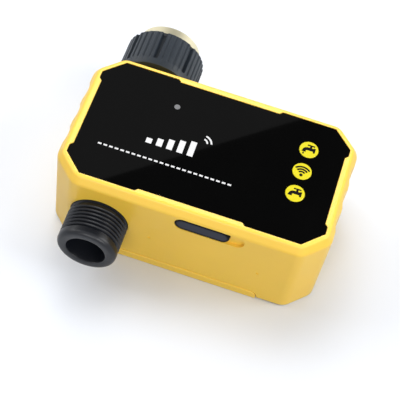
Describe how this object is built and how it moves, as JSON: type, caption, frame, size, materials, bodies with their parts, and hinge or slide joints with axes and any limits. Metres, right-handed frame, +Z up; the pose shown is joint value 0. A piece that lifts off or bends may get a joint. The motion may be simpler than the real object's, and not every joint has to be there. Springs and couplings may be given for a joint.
{
  "type": "smart plant watering system",
  "caption": "Wireless tap timer lying on its back: cut-cornered case with a glossy panel and push buttons, ribbed swivel inlet nut, threaded outlet, motor driven ball valve inside.",
  "frame": {"origin": "middle of the case's flat base, which the object lies on", "axes": "+X towards the buttons, +Y towards the inlet nut along the water way, +Z up through the panel"},
  "size_m": [0.1214, 0.1184, 0.048],
  "materials": {
    "board_green": "solder mask",
    "brass": "turned",
    "case_yellow": "satin moulded",
    "cell_wrap": "shrink wrap",
    "chip_black": "moulded",
    "clear_plastic": "clear rod",
    "cradle_plastic": "moulded",
    "fitting_black": "satin",
    "fitting_slate": "satin ribbed",
    "key_yellow": "gloss",
    "lamp_white": "light part",
    "lead_grey": "insulation",
    "lead_red": "insulation",
    "nickel": "bright strip",
    "nylon_white": "moulded nylon",
    "panel_black": "high gloss",
    "plug_rubber": "matt",
    "seal_rubber": "matt",
    "seat_white": "slippery",
    "steel": "bright",
    "tape_grey": "foam tape",
    "valve_plastic": "glass filled"
  },
  "bodies": {
    "case": {"back_cover": "case_yellow", "ball_seats": "seat_white", "battery_cells": "cell_wrap", "battery_cradle": "cradle_plastic", "battery_leads": "lead_red", "board_components": "chip_black", "board_header": "chip_black", "board_screws": "steel", "button_switches": "steel", "cell_straps": "nickel", "charge_board": "board_green", "charge_screws": "steel", "charge_socket": "steel", "cover_gasket": "seal_rubber", "cover_screws": "steel", "cradle_screws": "steel", "drive_plate": "steel", "end_switches": "chip_black", "front_panel": "panel_black", "gearbox": "brass", "inlet_tailpiece": "fitting_black", "lead_connectors": "nylon_white", "light_pipe": "clear_plastic", "main_board": "board_green", "motor_can": "steel", "motor_leads": "lead_grey", "motor_screws": "steel", "neck_rings": "seal_rubber", "outlet_nipple": "fitting_black", "panel_tape": "tape_grey", "radio_module": "steel", "status_light": "lamp_white", "thrust_washer": "seat_white", "upper_case": "case_yellow", "valve_body": "valve_plastic", "valve_screws": "steel", "wall_seals": "seal_rubber"},
    "inlet_nut": {"inlet_nut": "fitting_slate", "nut_insert": "brass", "inlet_washer": "seal_rubber", "inlet_filter": "steel"},
    "valve_rotor": {"valve_ball": "steel", "ball_stem": "brass", "stem_rings": "seal_rubber", "valve_gear": "nylon_white", "gear_screw": "steel"},
    "pinion": {"drive_pinion": "brass", "gearbox_shaft": "steel"},
    "port_plug": {"port_plug": "plug_rubber"},
    "button_open": {"button_open": "key_yellow", "button_ring_open": "seal_rubber", "switch_plunger_open": "chip_black"},
    "button_pair": {"button_pair": "key_yellow", "button_ring_pair": "seal_rubber", "switch_plunger_pair": "chip_black"},
    "button_close": {"button_close": "key_yellow", "button_ring_close": "seal_rubber", "switch_plunger_close": "chip_black"}
  },
  "joints": [
    {"name": "inlet_nut_spin", "type": "hinge", "parent": "case", "child": "inlet_nut", "pos_m": [-0.03686, 0.05, 0.0237], "axis": [0, 1, 0], "continuous": true},
    {"name": "valve_turn", "type": "hinge", "parent": "case", "child": "valve_rotor", "pos_m": [-0.03686, 0, 0.0237], "axis": [0, 0, 1], "range_deg": [0, 90]},
    {"name": "pinion_spin", "type": "hinge", "parent": "case", "child": "pinion", "pos_m": [-0.01766, 0, 0.0409], "axis": [0, 0, 1], "range_deg": [-270, 0]},
    {"name": "port_plug_pull", "type": "slide", "parent": "case", "child": "port_plug", "axis": [0, -1, 0], "range_m": [0, 0.012]},
    {"name": "button_open_press", "type": "slide", "parent": "case", "child": "button_open", "axis": [0, 0, -1], "range_m": [0, 0.0005], "stiffness_N_per_m": 1500, "springref_m": -0.0005},
    {"name": "button_pair_press", "type": "slide", "parent": "case", "child": "button_pair", "axis": [0, 0, -1], "range_m": [0, 0.0005], "stiffness_N_per_m": 1500, "springref_m": -0.0005},
    {"name": "button_close_press", "type": "slide", "parent": "case", "child": "button_close", "axis": [0, 0, -1], "range_m": [0, 0.0005], "stiffness_N_per_m": 1500, "springref_m": -0.0005}
  ],
  "couplings": [
    {"joint": "pinion_spin", "follows": "valve_turn", "ratio": -3}
  ]
}
